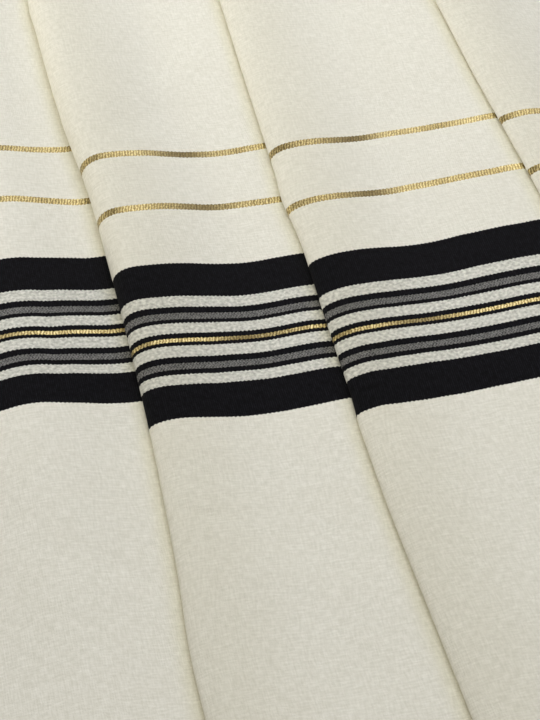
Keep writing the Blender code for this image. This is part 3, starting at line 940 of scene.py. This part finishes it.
def make_sewing_cotton():
    """Mercerised cotton sewing thread: smooth, with a low silky shine."""
    material, tree, shader = new_material("mercerised_cotton_thread")
    place = add_node(tree, "ShaderNodeTexCoord")
    ply = add_node(tree, "ShaderNodeTexNoise", {"Vector": place.outputs["Object"], "Scale": 900.0})
    tone = add_node(tree, "ShaderNodeMix", {
        0: ply.outputs["Fac"], 6: linear("D6D1BD"), 7: linear("F1EEE2")}, data_type="RGBA")
    tree.links.new(tone.outputs[2], shader.inputs["Base Color"])
    shader.inputs["Roughness"].default_value = 0.55
    return material


sewing_cotton = make_sewing_cotton()


def tube_part(points, faces, path, radius, sides, lobes=0.0, twist=0.0, cap=True):
    """Add a round or twisted tube along a path. radius is a number, or one for each place."""
    rings = len(path)
    radii = radius if isinstance(radius, (list, tuple)) else [radius] * rings
    base = len(points)
    run = 0.0
    for index, centre in enumerate(path):
        way = (path[min(index + 1, rings - 1)] - path[max(index - 1, 0)]).normalized()
        if index:
            run += (centre - path[index - 1]).length
        up = Vector((0, 0, 1)) if abs(way.z) < 0.92 else Vector((0, 1, 0))
        aside = way.cross(up).normalized()
        up = aside.cross(way)
        for side in range(sides):
            angle = math.tau * side / sides
            reach = radii[index]
            if lobes:
                reach *= 1 - lobes + lobes * abs(math.cos(angle - run * twist))
            points.append(centre + reach * (aside * math.cos(angle) + up * math.sin(angle)))
    for ring in range(rings - 1):
        for side in range(sides):
            after = (side + 1) % sides
            a, b = base + ring * sides + side, base + ring * sides + after
            faces.append((a, a + sides, b + sides, b))
    if cap:
        faces.append(tuple(base + side for side in range(sides)))
        faces.append(tuple(base + (rings - 1) * sides + side for side in reversed(range(sides))))


def joined_mesh(name, points, faces, material):
    """One smooth piece of these points, in millimetres, and faces."""
    mesh = bpy.data.meshes.new(name)
    mesh.from_pydata([point * MM for point in points], [], faces)
    mesh.materials.append(material)
    mesh.shade_smooth()
    item = bpy.data.objects.new(name, mesh)
    bpy.context.scene.collection.objects.link(item)
    return item


def stitch(points, faces, start, end):
    """One lockstitch: a short thread that dips into the cloth at both ends."""
    low = Vector((0, 0, STITCH_RADIUS))
    path = [start - low, start.lerp(end, 0.25) + low * 0.3, start.lerp(end, 0.5) + low * 0.6,
            start.lerp(end, 0.75) + low * 0.3, end - low]
    radii = [STITCH_RADIUS * share for share in (0.5, 0.9, 1.0, 0.9, 0.5)]
    tube_part(points, faces, path, radii, 6)


def surface_point(panel, x, y, above=0.0):
    """A place on a panel's upper face, with its creases, and raised square to the floor."""
    height = panel_top(panel, x, y) + cloth_lift(panel, x, y)
    return Vector((x, y, max(height, CLOTH + 0.05) + above))


def sew_hems():
    for panel in PANELS:
        points, faces = [], []
        for end in (-1, 1):
            y = end * (CUT_LENGTH / 2 - HEM_SEAM) + CREEP[panel]
            if panel == "panel_1":
                x, last = -HALF_LAID_WIDTH + 2, pleat_at("panel_2", y).fold - 4
            else:
                row = pleat_at(panel, y)
                x = row.fold + row.roll
                last = HALF_LAID_WIDTH - 2
                if panel != "panel_4":
                    last = pleat_at(panel_above(panel), y).fold - 4
            while x + STITCH_LENGTH < last:
                start = surface_point(panel, x, y)
                stitch(points, faces, start, surface_point(panel, x + STITCH_LENGTH, y))
                x += STITCH_PITCH
        seam = joined_mesh("hem_stitching_" + panel, points, faces, sewing_cotton)
        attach(seam, "root")


sew_hems()


# A corner patch: a 70 mm square of ivory satin, its raw edges turned in, sewn on at each corner
# to strengthen it. A round eyelet for the tassel is worked through both in buttonhole stitch.
PATCH = 70
PATCH_CLOTH = 0.45
PATCH_RISE = 1.3
PATCH_SEAM = 4
EYELET_FROM_SIDE = 40
EYELET_FROM_END = 45
EYELET_RADIUS = 4.6
EYELET_STITCHES = 34

# A buttonhole stitch, from the hole outwards: share of its way, and height over the satin
EYELET_STITCH = ((0, -0.5), (0.25, 0.5), (0.7, 0.45), (1, -0.2))


def make_ivory_satin():
    """Acetate satin: long floats all lying one way, so its shine is soft, broad and streaked."""
    material, tree, shader = new_material("woven_acetate_satin")
    place = add_node(tree, "ShaderNodeTexCoord")
    floats = add_node(tree, "ShaderNodeMapping", {
        "Vector": place.outputs["Object"], "Scale": (60.0, 2500.0, 60.0)})
    streak = add_node(tree, "ShaderNodeTexNoise", {"Vector": floats.outputs["Vector"], "Scale": 1.0})
    tone = add_node(tree, "ShaderNodeMix", {
        0: streak.outputs["Fac"], 6: linear("DCD7C4"), 7: linear("F3F0E4")}, data_type="RGBA")
    bump = add_node(tree, "ShaderNodeBump", {
        "Height": streak.outputs["Fac"], "Strength": 0.25, "Distance": 0.0002})
    tree.links.new(tone.outputs[2], shader.inputs["Base Color"])
    tree.links.new(bump.outputs["Normal"], shader.inputs["Normal"])
    shader.inputs["Roughness"].default_value = 0.42
    shader.inputs["Anisotropic"].default_value = 0.5
    shader.inputs["Sheen Weight"].default_value = 0.15
    return material


ivory_satin = make_ivory_satin()


def sew_patch(panel, side, end, name):
    """One corner's patch, with the stitching round it and round its eyelet."""
    edge_y = end * CUT_LENGTH / 2 + CREEP[panel]
    eye = Vector((side * (HALF_LAID_WIDTH - EYELET_FROM_SIDE), edge_y - end * EYELET_FROM_END))
    steps = 44
    left = side * (HALF_LAID_WIDTH - SELVEDGE) if side < 0 else HALF_LAID_WIDTH - SELVEDGE - PATCH
    near = edge_y + HEM if end < 0 else edge_y - HEM - PATCH
    grid, places = [], []
    for j in range(steps + 1):
        points, flat = [], []
        for i in range(steps + 1):
            across, along = i / steps, j / steps
            inset = min(across, along, 1 - across, 1 - along) * PATCH
            x, y = left + across * PATCH, near + along * PATCH
            puff = 0.35 + 0.75 * ease(inset / 2.5) - 0.3 * bell((inset - 4) / 1.2)
            puff += 0.2 * noise.noise(Vector((x / 11, y / 11, 5)))
            puff -= 0.35 * bell((Vector((x, y)) - eye).length / 7)
            points.append(surface_point(panel, x, y, puff + 0.5))
            flat.append((across * PATCH * MM, along * PATCH * MM))
        grid.append(points)
        places.append(flat)
    patch = shell_mesh("satin_patch_" + name, grid, places, PATCH_CLOTH)
    patch.data.materials.append(ivory_satin)
    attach(patch, "root")
    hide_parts("corner_patch_" + name)

    points, faces = [], []
    middle = Vector((left + PATCH / 2, near + PATCH / 2))
    corners = [middle + Vector(turn) * (PATCH / 2 - PATCH_SEAM) for turn in ROUND_A_SQUARE]
    for start, stop in zip(corners, corners[1:] + corners[:1]):
        count = round((stop - start).length / STITCH_PITCH)
        for index in range(count):
            a = start.lerp(stop, (index + 0.1) / count)
            b = start.lerp(stop, (index + 0.9) / count)
            stitch(points, faces, surface_point(panel, a.x, a.y, PATCH_RISE),
                   surface_point(panel, b.x, b.y, PATCH_RISE))
    rise = surface_point(panel, eye.x, eye.y, PATCH_RISE).z
    for index in range(EYELET_STITCHES):
        angle = math.tau * index / EYELET_STITCHES
        way = Vector((math.cos(angle), math.sin(angle)))
        inner, outer = eye + way * (EYELET_RADIUS - 1.6), eye + way * (EYELET_RADIUS + 1.1)
        path = [Vector((*inner.lerp(outer, share), rise + up)) for share, up in EYELET_STITCH]
        tube_part(points, faces, path, [0.3, 0.42, 0.42, 0.3], 6)
    purl = []
    for index in range(49):
        angle = math.tau * index / 48
        purl.append(Vector((eye.x + math.cos(angle) * (EYELET_RADIUS - 1.5),
                            eye.y + math.sin(angle) * (EYELET_RADIUS - 1.5),
                            rise + 0.3)))
    tube_part(points, faces, purl, 0.5, 6, cap=False)
    sewing = joined_mesh("patch_stitching_" + name, points, faces, sewing_cotton)
    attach(sewing, "root")


# The tzitzit: four white wool cords passed through each eyelet and doubled into eight, tied in a
# double knot, then wound and knotted four times more, with the eight ends left hanging. Here
# they lie out sideways on the table, past the selvedges.
TASSEL_CENTRE = 4.4
TASSEL_RISE = 1.3
TASSEL_DROP = 14
CORE_RADIUS = 1.75
KNOT_PLACES = (10, 29, 49, 71, 96)
KNOT_HALF_LENGTH = 4.5
KNOT_CLEAR = 3.6
KNOT_SWING = 2.3
KNOT_REACH = 2.55
KNOT_CORD_RADIUS = 1.15
WINDS = (7, 8, 11, 13)
WIND_REACH = 2.05
WIND_RADIUS = 0.62
STRAND_LENGTH = 185
STRAND_RADIUS = 0.95
STRAND_START = 2.6

# How far aside each free end's tip lies, by whether it starts high, and at the tassel's side
STRAND_SPREAD = {(True, True): 17.5, (False, True): 25, (True, False): 3.5, (False, False): 10.5}


def make_wool_cord():
    """Plied worsted wool cord: two hard-twisted strands, matt, with a few loose hairs."""
    material, tree, shader = new_material("plied_wool_cord")
    place = add_node(tree, "ShaderNodeTexCoord")
    hair = add_node(tree, "ShaderNodeTexNoise", {
        "Vector": place.outputs["Object"], "Scale": 1400.0, "Detail": 3.0})
    tone = add_node(tree, "ShaderNodeMix", {
        0: hair.outputs["Fac"], 6: linear("DAD7C9"), 7: linear("F7F5EC")}, data_type="RGBA")
    bump = add_node(tree, "ShaderNodeBump", {
        "Height": hair.outputs["Fac"], "Strength": 0.4, "Distance": 0.0003})
    tree.links.new(tone.outputs[2], shader.inputs["Base Color"])
    tree.links.new(bump.outputs["Normal"], shader.inputs["Normal"])
    shader.inputs["Roughness"].default_value = 0.9
    shader.inputs["Sheen Weight"].default_value = 0.2
    return material


wool_cord = make_wool_cord()


def tassel_place(side, end, edge_y, out):
    """A point on a tassel's route, out past the selvedge, and the way the route runs there."""
    whole = EYELET_FROM_SIDE + KNOT_PLACES[-1] + STRAND_LENGTH
    share = (out + EYELET_FROM_SIDE) / whole
    along = -EYELET_FROM_END + 8 * share + 40 * share**2
    place = Vector((side * (HALF_LAID_WIDTH + out), end * (abs(edge_y) + along), 0))
    way = Vector((side, end * (8 + 80 * share) / whole, 0)).normalized()
    return place, way


def head_frame(panel, side, end, edge_y, out):
    """The middle of a tassel's head at one place, and its directions across and up."""
    centre, way = tassel_place(side, end, edge_y, out)
    height = TASSEL_CENTRE
    if out < 0:
        over = surface_point(panel, centre.x, centre.y, PATCH_RISE + TASSEL_RISE).z
        drop = ease((out + TASSEL_DROP) / TASSEL_DROP)
        height += (max(over, TASSEL_CENTRE) - TASSEL_CENTRE) * (1 - drop)
    centre.z = height
    return centre, Vector((-way.y, way.x, 0)), Vector((0, 0, 1))


def tie_tassel(panel, side, end, name):
    """One corner's tassel, as one piece."""
    edge_y = end * CUT_LENGTH / 2 + CREEP[panel]
    points, faces = [], []

    def at(out, aside=0.0, up=0.0):
        centre, across, high = head_frame(panel, side, end, edge_y, out)
        return centre + across * aside + high * up

    # The doubled cords, from the eyelet over the cloth's edge to the first knot
    for aside in (-1.5, 0.0, 1.5):
        path = [at(-EYELET_FROM_SIDE + 0.5, aside * 0.3, -1.4)]
        path += [at(-EYELET_FROM_SIDE + 2 + step * 2.3, aside * (0.5 + 0.5 * ease(step / 4)),
                    0.25 * math.sin(step * 0.9 + aside)) for step in range(20)]
        tube_part(points, faces, path, STRAND_RADIUS, 8, 0.3, 1.6)

    # The core, the windings round it, and the double knots between them
    core = [at(out) for out in range(4, 100, 3)]
    tube_part(points, faces, core, CORE_RADIUS, 8)
    for start, stop, winds in zip(KNOT_PLACES, KNOT_PLACES[1:], WINDS):
        first, last = start + KNOT_CLEAR, stop - KNOT_CLEAR
        count = winds * 12
        path = []
        for step in range(count + 1):
            angle = math.tau * winds * step / count
            out = first + (last - first) * step / count
            path.append(at(out, WIND_REACH * math.cos(angle), WIND_REACH * math.sin(angle)))
        tube_part(points, faces, path, min(WIND_RADIUS, (last - first) / winds / 2 * 1.1), 6)
    for number, place in enumerate(KNOT_PLACES):
        for turn in (0, 1):
            path = []
            for step in range(41):
                angle = math.tau * step / 40
                swing = KNOT_SWING * math.sin(2 * angle + turn * math.pi + number)
                reach = KNOT_REACH + 0.3 * math.cos(2 * angle)
                path.append(at(place + swing, reach * math.cos(angle), reach * math.sin(angle)))
            tube_part(points, faces, path, KNOT_CORD_RADIUS, 8, 0.15, 1.2, cap=False)

    # The eight free ends, each a two-ply cord, out of the last knot and down on to the table
    start = KNOT_PLACES[-1] + 1
    rest = STRAND_RADIUS + 0.12
    for index in range(8):
        turn = math.tau * (index + 0.5) / 8
        upper, outer = math.sin(turn) > 0, abs(math.cos(turn)) > 0.5
        target = math.copysign(STRAND_SPREAD[upper, outer], math.cos(turn))
        length = (STRAND_LENGTH + KNOT_HALF_LENGTH - 2) * (1 - 0.06 * ((index * 3) % 4) / 3)
        path, radii = [], []
        count = 150
        for step in range(count + 1):
            share = step / count
            aside = math.cos(turn) * STRAND_START * (1 - share) + target * share**0.6
            aside += 1.1 * ease(share * 3) * math.sin(share * (9 + index % 3) + index * 1.9)
            drop = max(1 - share / 0.35, 0) ** 1.5
            height = rest + (TASSEL_CENTRE + math.sin(turn) * STRAND_START - rest) * drop
            centre, across, high = head_frame(panel, side, end, edge_y, start + length * share)
            path.append(Vector((centre.x, centre.y, 0)) + across * aside + high * max(height, rest))
            tip = 1.0 if share < 0.965 else 1.35 - 0.9 * abs(share - 0.975) / 0.025
            radii.append(STRAND_RADIUS * max(tip, 0.5) if share < 0.995 else STRAND_RADIUS * 0.4)
        tube_part(points, faces, path, radii, 8, 0.32, 1.5)
    tassel = joined_mesh("tied_tzitzit_" + name, points, faces, wool_cord)
    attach(tassel, "root")
    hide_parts("tzitzit_" + name)


Corner = namedtuple("Corner", "name panel side end")

CORNERS = (
    Corner("near_left", "panel_1", -1, -1),
    Corner("far_left", "panel_1", -1, 1),
    Corner("near_right", "panel_4", 1, -1),
    Corner("far_right", "panel_4", 1, 1),
)

for corner in CORNERS:
    sew_patch(corner.panel, corner.side, corner.end, corner.name)
    tie_tassel(corner.panel, corner.side, corner.end, corner.name)
